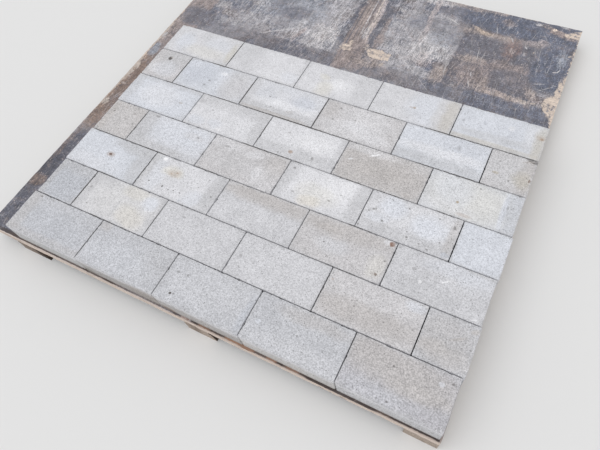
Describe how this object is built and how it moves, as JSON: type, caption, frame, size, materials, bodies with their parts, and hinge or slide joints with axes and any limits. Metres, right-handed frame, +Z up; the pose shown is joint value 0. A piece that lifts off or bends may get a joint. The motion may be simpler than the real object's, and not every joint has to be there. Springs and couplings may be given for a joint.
{
  "type": "pallet of concrete pavers",
  "caption": "Part-used pallet of rectangular concrete block pavers in half bond on a film-faced plywood board over timber bearers.",
  "frame": {"origin": "on the ground, under the middle of the board", "axes": "+X along the courses, +Y from the near edge of the board to its far edge, +Z up"},
  "size_m": [1.16, 1.194, 0.119],
  "materials": {
    "paver_concrete": "dry cast concrete, light grey, fine open texture",
    "board_plywood": "worn dark brown film-faced plywood with bare wood edges",
    "bearer_timber": "rough sawn softwood, weathered"
  },
  "bodies": {
    "root": {"bearer_left": "bearer_timber", "bearer_middle": "bearer_timber", "bearer_right": "bearer_timber", "half_paver_course_2_left": "paver_concrete", "half_paver_course_2_right": "paver_concrete", "half_paver_course_4_left": "paver_concrete", "half_paver_course_4_right": "paver_concrete", "half_paver_course_6_left": "paver_concrete", "half_paver_course_6_right": "paver_concrete", "paver_course_1_no_1": "paver_concrete", "paver_course_1_no_2": "paver_concrete", "paver_course_1_no_3": "paver_concrete", "paver_course_1_no_4": "paver_concrete", "paver_course_1_no_5": "paver_concrete", "paver_course_2_no_1": "paver_concrete", "paver_course_2_no_2": "paver_concrete", "paver_course_2_no_3": "paver_concrete", "paver_course_2_no_4": "paver_concrete", "paver_course_3_no_1": "paver_concrete", "paver_course_3_no_2": "paver_concrete", "paver_course_3_no_3": "paver_concrete", "paver_course_3_no_4": "paver_concrete", "paver_course_3_no_5": "paver_concrete", "paver_course_4_no_1": "paver_concrete", "paver_course_4_no_2": "paver_concrete", "paver_course_4_no_3": "paver_concrete", "paver_course_4_no_4": "paver_concrete", "paver_course_5_no_1": "paver_concrete", "paver_course_5_no_2": "paver_concrete", "paver_course_5_no_3": "paver_concrete", "paver_course_5_no_4": "paver_concrete", "paver_course_5_no_5": "paver_concrete", "paver_course_6_no_1": "paver_concrete", "paver_course_6_no_2": "paver_concrete", "paver_course_6_no_3": "paver_concrete", "paver_course_6_no_4": "paver_concrete", "paver_course_7_no_1": "paver_concrete", "paver_course_7_no_2": "paver_concrete", "paver_course_7_no_3": "paver_concrete", "paver_course_7_no_4": "paver_concrete", "paver_course_7_no_5": "paver_concrete", "plywood_board": "board_plywood"}
  },
  "joints": []
}
